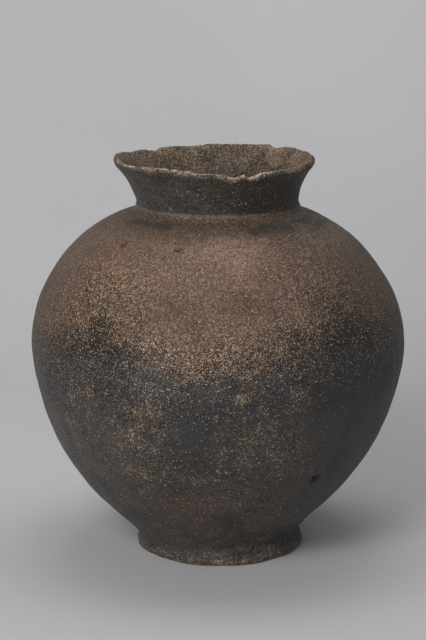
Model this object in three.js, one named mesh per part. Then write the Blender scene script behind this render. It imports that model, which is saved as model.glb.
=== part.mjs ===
// Hand-built earthenware jar with a ring foot, a wide round body and a short flaring neck.
// Millimetres, +Z up. The origin is on the ground, in the middle of the ring foot's resting face.
//
// The jar is made the way a potter makes it by hand: a ring foot, a base slab, a lower and a
// shoulder wall built up to the belly and the neck, and a neck collar, stacked on level joints.
// Rolls of soft clay are pressed over the joints, inside and out, to lute them together.

import * as THREE from "three";

// Ring foot
const footHeight = 13;
const footShoulderHeight = 8;
const creaseRadius = 61.5;
const footSpread = 6.1;
const footShoulderSpread = 4.7;
const footTopWidth = 9.5;
const footBoreTaper = 3;
const footRestInset = 4.1;
const footEdgeRounding = 3.6;
const footBevelInset = 0.8;
const footBevelRise = 1.4;
const footWearRecess = 0.4;
const footOffCentre = 1.6;

// Base slab
const slabThickness = 9;
const slabSag = 1.5;
const slabLevelMargin = 6;

// Wall of the body
const wallThickness = 7;
const bellyRadius = 150;
const lowerRise = 159;
const shoulderRise = 106;

// Neck collar: it leans out up to the flare, and the lip's outer edge lies below its inner crest.
const neckRadius = 63.6;
const neckWall = 7;
const collarRise = 39.7;
const flareLean = 2.4;
const flareRise = 22.6;
const lipRadius = 80;
const lipWall = 5.4;
const lipSlant = 3.8;
const lipDome = 0.8;

// Rolls of luting clay
const lutingClearance = 0.3;
const footRollHeight = 8.4;
const footRollDepth = 2.1;
const neckRollHeight = 3.6;
const neckRollWidth = 1.5;
const rollEdgeThickness = 0.6;
const rollEdgeRounding = 0.4;
const innerRollThickness = 2.4;
const neckInnerRollHeight = 11;
const bellyInnerRollHeight = 16;
const baseRollLeg = 13;
const baseRollHollow = 3.2;

// How round the wall swells between the foot and the belly, and between the belly and the neck:
// each pair is a share of the way out from the foot or in from the belly, and a share of the way up.
const lowerSwell = [[0.2, 0.1], [0.49, 0.265], [0.781, 0.513], [0.939, 0.766]];
const shoulderSwell = [[0.0716, 0.308], [0.255, 0.581], [0.468, 0.778], [0.7235, 0.914],
  [0.891, 0.9725]];

// How far the hand-built wall's axis wanders to the left, by its share of the jar's height:
// each share of the greatest wander, which is at the lip.
const wanderDepth = 2.9;
const axisWander = [[0.041, 0.4], [0.132, 0.55], [0.246, 0.24], [0.504, -0.14], [0.686, 0.2],
  [0.835, 0.58], [0.883, 0.05], [0.938, 0.55], [1, 1]];

// Out-of-round shape that the hands and the paddle leave.
const ovalDepth = 0.9;
const ovalAngle = 35;
const paddleDepth = 0.35;
const paddleFacets = 9;
const paddleRowHeight = 130;

// The lip rises or dips in places around the mouth: angle in degrees from +X, width in degrees, rise.
const lipRises = [[174, 54, 2.6], [238, 60, 1.6], [288, 90, -1.8], [50, 120, 2.2], [10, 40, 1.6],
  [34, 36, 0.7], [98, 40, 0.9]];

// Chips broken out of the lip, back along the flare: angle, width, depth.
const lipChips = [[48, 10, 2.4], [102, 16, 1.4], [131, 13, 2.1], [261, 12, 0.9], [280, 10, 2.6],
  [286, 24, 1.8], [292, 9, 2.6], [322, 18, 1], [350, 12, 1.6]];
const chippedHeight = 15;

// The ring foot's outer edge is worn away in places: angle, width, depth.
const footWear = [[222, 52, 2.6], [312, 34, 2.2], [268, 24, 0.6], [95, 60, 1.4]];

// Mesh fineness
const turnSteps = 72;
const collarSteps = 96;
const wallSteps = 8;
const collarRows = 6;
const lipRows = 4;
const curveSteps = 160;

const footEdgeRadius = creaseRadius + footSpread;
const footShoulderRadius = creaseRadius + footShoulderSpread;
const footRestRadius = footEdgeRadius - footRestInset;
const footBoreTopRadius = creaseRadius - footTopWidth;
const footBoreBottomRadius = footBoreTopRadius + footBoreTaper;

// Heights of the level joints, stacked up from the ground.
const slabTopHeight = footHeight + slabThickness;
const bellyHeight = footHeight + lowerRise;
const neckJointHeight = bellyHeight + shoulderRise;
const jarHeight = neckJointHeight + collarRise;

const clay = {
  body: { color: 0x4c3e35, roughness: 0.86, metalness: 0 },
  lower: { color: 0x34312f, roughness: 0.86, metalness: 0 },
  neck: { color: 0x2f2c2a, roughness: 0.82, metalness: 0 },
  foot: { color: 0x332d29, roughness: 0.9, metalness: 0 },
  inside: { color: 0x463c33, roughness: 0.92, metalness: 0 },
};

// How far the axis has wandered along X at a height, by smooth steps from station to station.
function wanderAt(height) {
  const share = height / jarHeight;
  let shift = axisWander[0][1];
  for (let i = 1; i < axisWander.length; i += 1) {
    const step = THREE.MathUtils.smoothstep(share, axisWander[i - 1][0], axisWander[i][0]);
    shift += step * (axisWander[i][1] - axisWander[i - 1][1]);
  }
  return -shift * wanderDepth;
}

// Sum of bumps around the jar, each [angle, width, size] in degrees and millimetres.
// Soft bumps swell and fade; broken ones keep most of their size right up to their sides.
function aroundJar(bumps, degrees, broken) {
  let sum = 0;
  for (const [centre, width, size] of bumps) {
    const turn = THREE.MathUtils.euclideanModulo(degrees - centre + 180, 360) - 180;
    const away = Math.abs((2 * turn) / width);
    if (away < 1) sum += size * (broken ? 1 - away ** 3 : Math.cos((away * Math.PI) / 2) ** 2);
  }
  return sum;
}

const degreesAt = (point) => THREE.MathUtils.radToDeg(Math.atan2(point.y, point.x));

// Radial push of the hand-built wall at an angle and a height.
function outOfRound(degrees, height) {
  const oval = ovalDepth * Math.cos(THREE.MathUtils.degToRad(2 * (degrees - ovalAngle)));
  const row = Math.cos((2 * Math.PI * height) / paddleRowHeight);
  const facets = Math.cos(THREE.MathUtils.degToRad(paddleFacets * degrees));
  return oval + paddleDepth * row * facets;
}

// Turns a closed section of [radius, height] points about +Z, then shapes each point by hand.
function turned(section, steps, shapePoint) {
  const outline = section.map(([radius, height]) => new THREE.Vector2(radius, height));
  const onAxis = section[0][0] === 0;
  if (!onAxis) outline.push(outline[0].clone());
  const geometry = new THREE.LatheGeometry(outline, steps);
  geometry.rotateX(Math.PI / 2);
  const positions = geometry.attributes.position;
  const point = new THREE.Vector3();
  for (let i = 0; i < positions.count; i += 1) {
    point.fromBufferAttribute(positions, i);
    shapePoint(point);
    positions.setXYZ(i, point.x, point.y, point.z);
  }
  geometry.computeVertexNormals();
  return geometry;
}

// Moves a point in or out from the axis that it was turned on.
function pushOut(point, distance) {
  const radius = Math.hypot(point.x, point.y);
  if (radius === 0) return;
  point.x *= (radius + distance) / radius;
  point.y *= (radius + distance) / radius;
}

// Pushes a point out of round, in proportion to its radius.
function shapeRound(point) {
  const share = Math.hypot(point.x, point.y) / bellyRadius;
  pushOut(point, outOfRound(degreesAt(point), point.z) * share);
}

// Pushes a point out of round and along the wandering axis, at its own height.
function shapeWall(point) {
  shapeRound(point);
  point.x += wanderAt(point.z);
}

// Outer face of the body from the foot crease to the neck, as one smooth curve.
function bodyCurve() {
  const points = [new THREE.Vector3(creaseRadius, footHeight, 0)];
  for (const [out, up] of lowerSwell) {
    const radius = THREE.MathUtils.lerp(creaseRadius, bellyRadius, out);
    points.push(new THREE.Vector3(radius, THREE.MathUtils.lerp(footHeight, bellyHeight, up), 0));
  }
  points.push(new THREE.Vector3(bellyRadius, bellyHeight, 0));
  for (const [inward, up] of shoulderSwell) {
    const radius = THREE.MathUtils.lerp(bellyRadius, neckRadius, inward);
    points.push(new THREE.Vector3(radius, THREE.MathUtils.lerp(bellyHeight, neckJointHeight, up), 0));
  }
  points.push(new THREE.Vector3(neckRadius, neckJointHeight, 0));
  return new THREE.CatmullRomCurve3(points, false, "centripetal");
}

// Points of the body's outer face, and of its inner face one wall thickness in.
// The inner face runs straight on from the shoulder to the bore of the neck.
function bodyFaces() {
  const curve = bodyCurve();
  const outer = [];
  const inner = [];
  for (let i = 0; i <= curveSteps; i += 1) {
    const point = curve.getPointAt(i / curveSteps);
    const tangent = curve.getTangentAt(i / curveSteps);
    outer.push([point.x, point.y]);
    inner.push([point.x - tangent.y * wallThickness, point.y + tangent.x * wallThickness]);
  }
  const [endRadius, endHeight] = inner[curveSteps];
  const tangent = curve.getTangentAt(1);
  const boreRadius = neckRadius - neckWall;
  inner.push([boreRadius, endHeight + ((boreRadius - endRadius) * tangent.y) / tangent.x]);
  return { outer, inner };
}

// Radius of a face at a height, between its nearest two points.
function radiusAt(face, height) {
  for (let i = 1; i < face.length; i += 1) {
    const [lowRadius, lowHeight] = face[i - 1];
    const [highRadius, highHeight] = face[i];
    if (height >= lowHeight && height <= highHeight) {
      return THREE.MathUtils.mapLinear(height, lowHeight, highHeight, lowRadius, highRadius);
    }
  }
  return height < face[0][1] ? face[0][0] : face[face.length - 1][0];
}

// Height of a face at a radius, on its shoulder side.
function shoulderHeightAt(face, radius) {
  for (let i = face.length - 1; i > 0; i -= 1) {
    const [outRadius, outHeight] = face[i - 1];
    const [inRadius, inHeight] = face[i];
    if (radius >= inRadius && radius <= outRadius) {
      return THREE.MathUtils.mapLinear(radius, outRadius, inRadius, outHeight, inHeight);
    }
  }
  return face[face.length - 1][1];
}

// Evenly spaced points along a face from a low height to a high one.
function faceStrip(face, low, high) {
  const between = face.filter(([, height]) => height > low && height < high);
  const strip = [[radiusAt(face, low), low], ...between, [radiusAt(face, high), high]];
  const path = new THREE.CatmullRomCurve3(
    strip.map(([radius, height]) => new THREE.Vector3(radius, height, 0)),
  );
  return path.getSpacedPoints(wallSteps).map((point) => [point.x, point.y]);
}

// Outer face of the neck collar, from its foot to the lip's outer edge.
function collarCurve() {
  return new THREE.QuadraticBezierCurve(
    new THREE.Vector2(neckRadius, neckJointHeight),
    new THREE.Vector2(neckRadius + flareLean, neckJointHeight + flareRise),
    new THREE.Vector2(lipRadius, jarHeight - lipSlant),
  );
}

// Points up one face of the neck collar: depth is 0 for the outer face and 1 for the bore.
function collarStrip(curve, depth) {
  const strip = [[neckRadius - neckWall * depth, neckJointHeight]];
  for (let row = 1; row <= collarRows; row += 1) {
    const share = row / collarRows;
    const point = curve.getPoint(share);
    const tangent = curve.getTangent(share);
    const inward = depth * THREE.MathUtils.lerp(neckWall, lipWall, share);
    strip.push([point.x - tangent.y * inward, point.y + tangent.x * inward]);
  }
  return strip;
}

const faces = bodyFaces();
const collarLine = collarCurve();
const neckBoreRadius = neckRadius - neckWall;
const landRadius = neckRadius + neckRollWidth;
const strips = {
  lowerOuter: faceStrip(faces.outer, slabTopHeight, bellyHeight),
  lowerInner: faceStrip(faces.inner, slabTopHeight, bellyHeight),
  shoulderOuter: faceStrip(faces.outer, bellyHeight, shoulderHeightAt(faces.outer, landRadius)),
  shoulderInner: faceStrip(faces.inner, bellyHeight, faces.inner[faces.inner.length - 1][1]),
  collarOuter: collarStrip(collarLine, 0),
  collarInner: collarStrip(collarLine, 1),
};

// Ring foot: a low ring with a flat resting face, its outer edge worn here and there.
function footRing() {
  const section = [
    [footBoreBottomRadius + footBevelRise, 0],
    [footRestRadius, 0],
    [footEdgeRadius - footBevelInset, footBevelRise],
    [footEdgeRadius, footEdgeRounding],
    [footShoulderRadius, footShoulderHeight],
    [creaseRadius, footHeight],
    [footBoreTopRadius, footHeight],
    [footBoreBottomRadius, footBevelRise],
  ];
  return turned(section, turnSteps, (point) => {
    const share = 1 - THREE.MathUtils.clamp(point.z / footShoulderHeight, 0, 1);
    const wear = aroundJar(footWear, degreesAt(point), false) * share;
    const radius = Math.hypot(point.x, point.y);
    shapeRound(point);
    if (radius > (footRestRadius + footBoreBottomRadius) / 2) {
      const resting = point.z === 0;
      pushOut(point, resting ? -wear : -wear * footWearRecess);
      point.z += resting ? 0 : wear;
    }
    point.x += footOffCentre;
  });
}

// Base slab: closes the body over the ring foot, its edge already part of the outer face.
function baseSlab() {
  const edgeMiddle = footHeight + slabThickness / 2;
  const section = [
    [0, footHeight - slabSag],
    [footBoreTopRadius - slabLevelMargin, footHeight],
    [creaseRadius, footHeight],
    [radiusAt(faces.outer, edgeMiddle), edgeMiddle],
    [radiusAt(faces.outer, slabTopHeight), slabTopHeight],
    [radiusAt(faces.inner, slabTopHeight) - baseRollLeg, slabTopHeight],
    [0, slabTopHeight - slabSag],
  ];
  return turned(section, turnSteps, shapeWall);
}

// Lower wall: from the base slab to the level joint at the belly.
function lowerWall() {
  const section = [...strips.lowerOuter, ...strips.lowerInner.toReversed()];
  return turned(section, turnSteps, shapeWall);
}

// Shoulder wall: from the belly in over the shoulder to the flat land that carries the neck.
function shoulderWall() {
  const section = [
    ...strips.shoulderOuter,
    [landRadius, neckJointHeight],
    [neckBoreRadius, neckJointHeight],
    ...strips.shoulderInner.toReversed(),
  ];
  return turned(section, turnSteps, shapeWall);
}

// Neck collar: stands on the shoulder's land and flares to a worn, chipped and uneven lip,
// its end cut square across the flare and slightly domed.
function neckCollar() {
  const edge = collarLine.getPoint(1);
  const along = collarLine.getTangent(1);
  const lip = [];
  for (let row = 1; row < lipRows; row += 1) {
    const share = row / lipRows;
    const inward = share * lipWall;
    const up = Math.sin(share * Math.PI) * lipDome;
    lip.push([edge.x - along.y * inward + along.x * up, edge.y + along.x * inward + along.y * up]);
  }
  const section = [...strips.collarOuter, ...lip, ...strips.collarInner.toReversed()];
  return turned(section, collarSteps, shapeCollarPoint);
}

// Lifts and chips the lip: a chip takes the wall back along its flare, and both the rises
// and the chips fade out down the collar.
function shapeCollarPoint(point) {
  const degrees = degreesAt(point);
  const flare = collarLine.getTangent(1);
  const plainTop = neckJointHeight + Math.max(neckRollHeight, neckInnerRollHeight / 2);
  const chipFoot = Math.max(plainTop, jarHeight - chippedHeight);
  const riseShare = THREE.MathUtils.smoothstep(point.z, plainTop, jarHeight);
  const chipShare = THREE.MathUtils.smoothstep(point.z, chipFoot, jarHeight);
  const rise = aroundJar(lipRises, degrees, false) * riseShare;
  const chip = aroundJar(lipChips, degrees, true) * chipShare;
  pushOut(point, -chip * flare.x);
  shapeWall(point);
  point.z += rise - chip * flare.y;
}

// Roll outside the foot joint: fills the crease between the ring foot and the body.
// Its lower edge follows the foot and its upper edge the body, which is set a little off centre.
function footRoll() {
  const low = footHeight - footRollHeight / 2;
  const high = footHeight + footRollHeight / 2;
  const halfOffset = (footOffCentre - wanderAt(footHeight)) / 2;
  const cornerRadius = creaseRadius + lutingClearance + halfOffset;
  const lowRadius = THREE.MathUtils.mapLinear(
    low, footShoulderHeight, footHeight, footShoulderRadius, creaseRadius,
  ) + lutingClearance * Math.SQRT2;
  const highRadius = radiusAt(faces.outer, high) + lutingClearance * Math.SQRT2;
  const section = [
    [lowRadius, low],
    [lowRadius + rollEdgeThickness, low + rollEdgeRounding],
    [cornerRadius + footRollDepth, footHeight],
    [highRadius + rollEdgeThickness, high - rollEdgeRounding],
    [highRadius, high],
    [cornerRadius, footHeight],
  ];
  return turned(section, turnSteps, (point) => {
    const share = THREE.MathUtils.smoothstep(point.z, low, high);
    shapeRound(point);
    point.x += THREE.MathUtils.lerp(footOffCentre, wanderAt(point.z), share);
  });
}

// Roll outside the neck joint: stands on the shoulder's land against the collar.
function neckRoll() {
  const faceAt = (height) => radiusAt(strips.collarOuter, height) + lutingClearance;
  const top = neckJointHeight + neckRollHeight;
  const section = [
    [faceAt(neckJointHeight), neckJointHeight],
    [landRadius, neckJointHeight],
    [faceAt(top) + rollEdgeThickness, top - rollEdgeRounding],
    [faceAt(top), top],
  ];
  return turned(section, turnSteps, shapeWall);
}

// Section of a flattened roll on an inner face: full in its middle and thinned to both edges.
function innerBand(faceAt, middle, height) {
  const low = middle - height / 2;
  const high = middle + height / 2;
  return [
    [faceAt(low), low],
    [faceAt(middle), middle],
    [faceAt(high), high],
    [faceAt(high) - rollEdgeThickness, high + rollEdgeRounding],
    [faceAt(middle) - innerRollThickness, middle],
    [faceAt(low) - rollEdgeThickness, low - rollEdgeRounding],
  ];
}

// Roll inside the neck joint: a flattened band that covers it in the bore.
function neckInnerRoll() {
  const faceAt = (height) => radiusAt(strips.collarInner, height) - lutingClearance;
  return turned(innerBand(faceAt, neckJointHeight, neckInnerRollHeight), turnSteps, shapeWall);
}

// Roll inside the belly joint: a flattened band along the widest part of the wall.
function bellyInnerRoll() {
  const wall = [...strips.lowerInner, ...strips.shoulderInner];
  const faceAt = (height) => radiusAt(wall, height) - lutingClearance;
  return turned(innerBand(faceAt, bellyHeight, bellyInnerRollHeight), turnSteps, shapeWall);
}

// Roll in the corner between the base slab and the lower wall: stands on the slab,
// its free face hollowed a little by the finger that pressed it.
function baseRoll() {
  const slantGap = lutingClearance * Math.SQRT2;
  const faceAt = (height) => radiusAt(strips.lowerInner, height) - slantGap;
  const floor = slabTopHeight;
  const middle = floor + baseRollLeg / 2;
  const section = [
    [faceAt(floor) - baseRollLeg + lutingClearance, floor],
    [faceAt(floor), floor],
    [faceAt(middle), middle],
    [faceAt(floor + baseRollLeg), floor + baseRollLeg],
    [faceAt(middle) - baseRollHollow, middle],
    [faceAt(floor) - baseRollLeg / 2, floor + baseRollHollow],
  ];
  return turned(section, turnSteps, shapeWall);
}

function part(name, geometry, finish) {
  const mesh = new THREE.Mesh(geometry, new THREE.MeshStandardMaterial(finish));
  mesh.name = name;
  return mesh;
}

const jar = new THREE.Group();
jar.add(part("foot_ring", footRing(), clay.foot));
jar.add(part("base_slab", baseSlab(), clay.foot));
jar.add(part("lower_wall", lowerWall(), clay.lower));
jar.add(part("shoulder_wall", shoulderWall(), clay.body));
jar.add(part("neck_collar", neckCollar(), clay.neck));
jar.add(part("foot_luting_roll", footRoll(), clay.foot));
jar.add(part("neck_luting_roll", neckRoll(), clay.body));
jar.add(part("neck_inner_roll", neckInnerRoll(), clay.inside));
jar.add(part("belly_inner_roll", bellyInnerRoll(), clay.inside));
jar.add(part("base_inner_roll", baseRoll(), clay.inside));

export default jar;
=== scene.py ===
# %% [markdown]
# # A hand-built earthenware jar
# The jar in the photograph is a round, low-fired pot on a ring foot, with a short neck that flares to a
# broken lip. It was built up by hand from pieces of clay, so nothing on it is quite round or quite level.
# The imported CAD model holds its real sizes. Here the clay gets its fine surface: the wall, the collar and
# the foot are turned again as dense meshes, put out of true, chipped and worn, and finished with
# procedural clay. Everything is in metres, in the frame of the CAD model.

import math

import bpy
import numpy as np
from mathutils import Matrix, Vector, noise


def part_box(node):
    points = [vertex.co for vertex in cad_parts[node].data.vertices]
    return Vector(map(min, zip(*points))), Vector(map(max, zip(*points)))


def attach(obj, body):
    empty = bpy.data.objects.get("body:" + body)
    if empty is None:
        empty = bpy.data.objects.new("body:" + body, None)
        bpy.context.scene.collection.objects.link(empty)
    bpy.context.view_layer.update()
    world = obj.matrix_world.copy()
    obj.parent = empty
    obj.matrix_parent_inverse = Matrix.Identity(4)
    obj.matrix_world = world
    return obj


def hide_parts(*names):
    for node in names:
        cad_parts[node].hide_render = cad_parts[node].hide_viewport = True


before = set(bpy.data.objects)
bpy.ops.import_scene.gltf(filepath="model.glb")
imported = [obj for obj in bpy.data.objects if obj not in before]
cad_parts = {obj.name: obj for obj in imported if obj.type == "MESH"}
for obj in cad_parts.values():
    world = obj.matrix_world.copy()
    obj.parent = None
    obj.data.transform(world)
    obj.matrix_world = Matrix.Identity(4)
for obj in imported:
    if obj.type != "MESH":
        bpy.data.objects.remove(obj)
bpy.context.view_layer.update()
MM = 0.001
print("CAD nodes:", ", ".join(sorted(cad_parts)))

# %% [markdown]
# ## Camera
# The jar was photographed from slightly above with a long lens, so its sides hardly converge. The foot
# and the mouth show how high the camera stood: both are ellipses, and the foot's is the rounder of the two.

# %% Set the camera
IMAGE_WIDTH = 426
IMAGE_HEIGHT = 640
SENSOR_WIDTH = 36
FOCAL_LENGTH = 118.2
EYE = Vector((-3.9, -1653.7, 552.8)) * MM
AIM = Vector((-3.9, 0.0, 186.3)) * MM

camera = bpy.data.objects.new("camera", bpy.data.cameras.new("camera"))
bpy.context.scene.collection.objects.link(camera)
camera.data.sensor_width = SENSOR_WIDTH
camera.data.lens = FOCAL_LENGTH
camera.location = EYE
camera.rotation_euler = (AIM - EYE).to_track_quat("-Z", "Y").to_euler()
bpy.context.scene.camera = camera
print("camera distance", round((AIM - EYE).length, 3), "m for an image of", IMAGE_WIDTH, "x", IMAGE_HEIGHT)

# %% [markdown]
# ## Studio
# The pot stands on a pale grey paper sweep. A plane is the floor; its back edge is extruded up and the
# fold is bevelled into a wide curve, so no horizon shows. The shadow on the floor falls back and to the
# right, so the soft main lamp stands in front, a little to the left and above. A wide low lamp fills in
# from the front, and a third one hangs over the sweep, turned to the paper behind the pot.

# %% Paper sweep
SWEEP_BACK = 1.6
SWEEP_HALF_WIDTH = 3.0
SWEEP_HEIGHT = 3.0
SWEEP_FRONT = 3.2
FOLD_WIDTH = 1.1
FOLD_STEPS = 24


def only(piece):
    """Deselects everything, then selects this object and makes it the active one."""
    if bpy.context.object and bpy.context.object.mode != "OBJECT":
        bpy.ops.object.mode_set(mode="OBJECT")
    bpy.ops.object.select_all(action="DESELECT")
    piece.select_set(True)
    bpy.context.view_layer.objects.active = piece
    return piece


def new_piece(name):
    """Names the object that an operator has just added, and its mesh."""
    piece = bpy.context.object
    piece.name = name
    piece.data.name = name
    return only(piece)


bpy.ops.object.select_all(action="DESELECT")
bpy.ops.mesh.primitive_plane_add(size=2)
sweep = new_piece("paper_sweep")
sweep.scale = (SWEEP_HALF_WIDTH, (SWEEP_BACK + SWEEP_FRONT) / 2, 1)
sweep.location = (0, (SWEEP_BACK - SWEEP_FRONT) / 2, 0)
bpy.ops.object.transform_apply(location=True, rotation=True, scale=True)
for edge in sweep.data.edges:
    ends = [sweep.data.vertices[i].co.y for i in edge.vertices]
    edge.select = min(ends) > SWEEP_BACK - MM
bpy.ops.object.mode_set(mode="EDIT")
bpy.ops.mesh.select_mode(type="EDGE")
bpy.ops.mesh.extrude_region_move(TRANSFORM_OT_translate={"value": (0, 0, SWEEP_HEIGHT)})
bpy.ops.object.mode_set(mode="OBJECT")
fold = sweep.modifiers.new("fold", "BEVEL")
fold.width = FOLD_WIDTH
fold.segments = FOLD_STEPS
bpy.ops.object.modifier_apply(modifier="fold")
bpy.ops.object.shade_smooth()
print("sweep has", len(sweep.data.polygons), "faces")

# %% Lamps
JAR_MIDDLE = (0, 0, 0.17)
PAPER_BEHIND = (0, 1.4, 0.6)
ROOM_COLOUR = (0.95, 0.97, 1.0, 1)
ROOM_LIGHT = 0.03


def soft_lamp(name, place, target, width, height, power):
    """An area lamp at a place in metres, turned to a target."""
    lamp = bpy.data.objects.new(name, bpy.data.lights.new(name, "AREA"))
    bpy.context.scene.collection.objects.link(lamp)
    lamp.data.shape = "RECTANGLE"
    lamp.data.size = width
    lamp.data.size_y = height
    lamp.data.energy = power
    lamp.location = place
    lamp.rotation_euler = (Vector(target) - Vector(place)).to_track_quat("-Z", "Y").to_euler()
    return lamp


key_lamp = soft_lamp("key_lamp", (-0.82, -1.77, 1.39), JAR_MIDDLE, 0.9, 0.9, 28)
front_lamp = soft_lamp("front_lamp", (-0.4, -2.15, 0.55), JAR_MIDDLE, 1.4, 0.7, 11)
backdrop_lamp = soft_lamp("backdrop_lamp", (0, 0.3, 2.0), PAPER_BEHIND, 1.2, 1.2, 14)

world = bpy.data.worlds.new("studio")
world.use_nodes = True
room = world.node_tree.nodes["Background"]
room.inputs["Color"].default_value = ROOM_COLOUR
room.inputs["Strength"].default_value = ROOM_LIGHT
bpy.context.scene.world = world
bpy.context.scene.view_settings.view_transform = "Standard"
print("lamps:", key_lamp.data.energy, front_lamp.data.energy, backdrop_lamp.data.energy, "W")

# %% [markdown]
# ## Driving sizes
# The levels of the joints and the widest radius are read from the CAD nodes; the other sizes repeat those of
# the CAD model. How the wall swells between them is a short list of shares, as a potter's rib would be cut:
# how far out or in from one radius to the next, and how far up.

# %% Read the sizes
WALL_LOW, WALL_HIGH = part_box("lower_wall")
FOOT_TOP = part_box("foot_ring")[1].z
SLAB_TOP = WALL_LOW.z
BELLY_HEIGHT = WALL_HIGH.z
NECK_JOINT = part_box("shoulder_wall")[1].z
BOX_EXCESS = 0.1 * MM
BELLY_RADIUS = (WALL_HIGH.x - WALL_LOW.x + WALL_HIGH.y - WALL_LOW.y) / 4 - BOX_EXCESS
CREASE_RADIUS = 61.5 * MM
NECK_RADIUS = 63.6 * MM
BORE_RADIUS = 56.6 * MM
WALL = 7 * MM
LIP_RADIUS = 80 * MM
LIP_WALL = 5.4 * MM
LIP_HEIGHT = NECK_JOINT + 39.7 * MM

LOWER_SWELL = ((0.2, 0.1), (0.49, 0.265), (0.781, 0.513), (0.939, 0.766))
SHOULDER_SWELL = ((0.0716, 0.308), (0.255, 0.581), (0.468, 0.778), (0.7235, 0.914), (0.891, 0.9725))
print("belly radius", round(BELLY_RADIUS / MM, 1), "mm at a height of", round(BELLY_HEIGHT / MM, 1), "mm")

# %% Helpers for lines and shares


def smooth_line(points, spacing):
    """Points about spacing apart on one smooth curve through the given (radius, height) points.

    The curve is a centripetal Catmull-Rom spline, so it never loops between close points."""
    points = [Vector((p[0], p[1])) for p in points]
    ends = [points[0] * 2 - points[1]] + points + [points[-1] * 2 - points[-2]]
    line = [points[0]]
    for before, start, end, after in zip(ends, ends[1:], ends[2:], ends[3:]):
        knots = [0.0]
        for a, b in ((before, start), (start, end), (end, after)):
            knots.append(knots[-1] + max((b - a).length, 1e-9) ** 0.5)
        steps = max(1, round((end - start).length / spacing))
        for step in range(1, steps + 1):
            t = knots[1] + (knots[2] - knots[1]) * step / steps
            a1 = before.lerp(start, (t - knots[0]) / (knots[1] - knots[0]))
            a2 = start.lerp(end, (t - knots[1]) / (knots[2] - knots[1]))
            a3 = end.lerp(after, (t - knots[2]) / (knots[3] - knots[2]))
            b1 = a1.lerp(a2, (t - knots[0]) / (knots[2] - knots[0]))
            b2 = a2.lerp(a3, (t - knots[1]) / (knots[3] - knots[1]))
            line.append(b1.lerp(b2, (t - knots[1]) / (knots[2] - knots[1])))
    return line


def mix(low, high, share):
    """The value that lies this share of the way from low to high."""
    return low + (high - low) * share


def ease(value, low, high):
    """0 below low and 1 above high, with a soft start and end. Takes numbers or arrays."""
    share = np.clip((value - low) / (high - low), 0, 1)
    return share * share * (3 - 2 * share)


# %% [markdown]
# ## From a line to a pot
# A potter's profile is a line. One corner of a plane is kept, and extruded from point to point along the
# profile; spinning that line once round the jar's axis makes the whole piece, inside and out, with the
# same number of steps everywhere. Doubled points on the axis and along the seam are merged, and the faces
# are made to point outwards.

# %% Draw and spin


def spun(name, line, steps, closed):
    """A turned piece from a line of (radius, height) points in metres."""
    bpy.ops.object.select_all(action="DESELECT")
    bpy.ops.mesh.primitive_plane_add(size=MM)
    piece = new_piece(name)
    bpy.ops.object.mode_set(mode="EDIT")
    bpy.ops.mesh.select_mode(type="VERT")
    bpy.ops.mesh.merge(type="CENTER")
    bpy.ops.transform.translate(value=(line[0][0], 0, line[0][1]))
    path = list(line[1:]) + ([line[0]] if closed else [])
    here = line[0]
    for there in path:
        step = (there[0] - here[0], 0, there[1] - here[1])
        bpy.ops.mesh.extrude_vertices_move(TRANSFORM_OT_translate={"value": step})
        here = there
    bpy.ops.mesh.select_all(action="SELECT")
    bpy.ops.mesh.remove_doubles(threshold=0.01 * MM)
    bpy.ops.mesh.spin(steps=steps, angle=math.tau, center=(0, 0, 0), axis=(0, 0, 1))
    bpy.ops.mesh.select_all(action="SELECT")
    bpy.ops.mesh.remove_doubles(threshold=0.01 * MM)
    bpy.ops.mesh.normals_make_consistent(inside=False)
    bpy.ops.object.mode_set(mode="OBJECT")
    bpy.ops.object.shade_smooth()
    print(name, "has", len(piece.data.polygons), "faces")
    return piece


# %% [markdown]
# ## Out of true
# Clay walls raised by hand wander: the belly is slightly oval, the axis leans one way and then the other,
# and the paddle leaves broad flats. These helpers read a mesh's points as one array, move them, and write
# them back, so every piece can be put out of true by the same rule and still meet its neighbours.

# %% Hand-built unevenness
WANDER_REACH = -2.9 * MM
WANDER = ((0.041, 0.4), (0.132, 0.55), (0.246, 0.24), (0.504, -0.14), (0.686, 0.2),
          (0.835, 0.58), (0.883, 0.05), (0.938, 0.55), (1, 1))
OVAL = 0.9 * MM
OVAL_ANGLE = 35
DENT_LEVEL = 0.68


def points_of(piece):
    """The piece's points as an array with one row each."""
    flat = np.zeros(len(piece.data.vertices) * 3)
    piece.data.vertices.foreach_get("co", flat)
    return flat.reshape(-1, 3)


def set_points(piece, points):
    """Writes the array of points back into the piece."""
    piece.data.vertices.foreach_set("co", points.ravel())
    piece.data.update()


def wander_at(height):
    """How far the jar's axis has wandered along X at each height."""
    shift = np.full_like(height, WANDER[0][1])
    for (low, before), (high, after) in zip(WANDER, WANDER[1:]):
        shift += ease(height / LIP_HEIGHT, low, high) * (after - before)
    return shift * WANDER_REACH


def degrees_of(points):
    """The angle of each point round the jar's axis, in degrees from +X."""
    return np.degrees(np.arctan2(points[:, 1], points[:, 0]))


def push_out(points, distance):
    """Moves points away from the axis by a distance."""
    radius = np.hypot(points[:, 0], points[:, 1])
    scale = 1 + distance / np.maximum(radius, MM)
    points[:, 0] *= scale
    points[:, 1] *= scale


def out_of_round(points):
    """Pushes points slightly oval, in proportion to their radius."""
    share = np.hypot(points[:, 0], points[:, 1]) / BELLY_RADIUS
    push_out(points, OVAL * np.cos(np.radians(2 * (degrees_of(points) - OVAL_ANGLE))) * share)


def around(bumps, degrees, broken):
    """Sum of bumps round the jar, each (angle, width, size in mm). Broken ones have steep sides."""
    total = np.zeros_like(degrees)
    for angle, width, size in bumps:
        away = np.abs((degrees - angle + 180) % 360 - 180) * 2 / width
        shape = 1 - away**3 if broken else np.cos(np.clip(away, 0, 1) * math.pi / 2) ** 2
        total += np.where(away < 1, size * MM * shape, 0)
    return total


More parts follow.
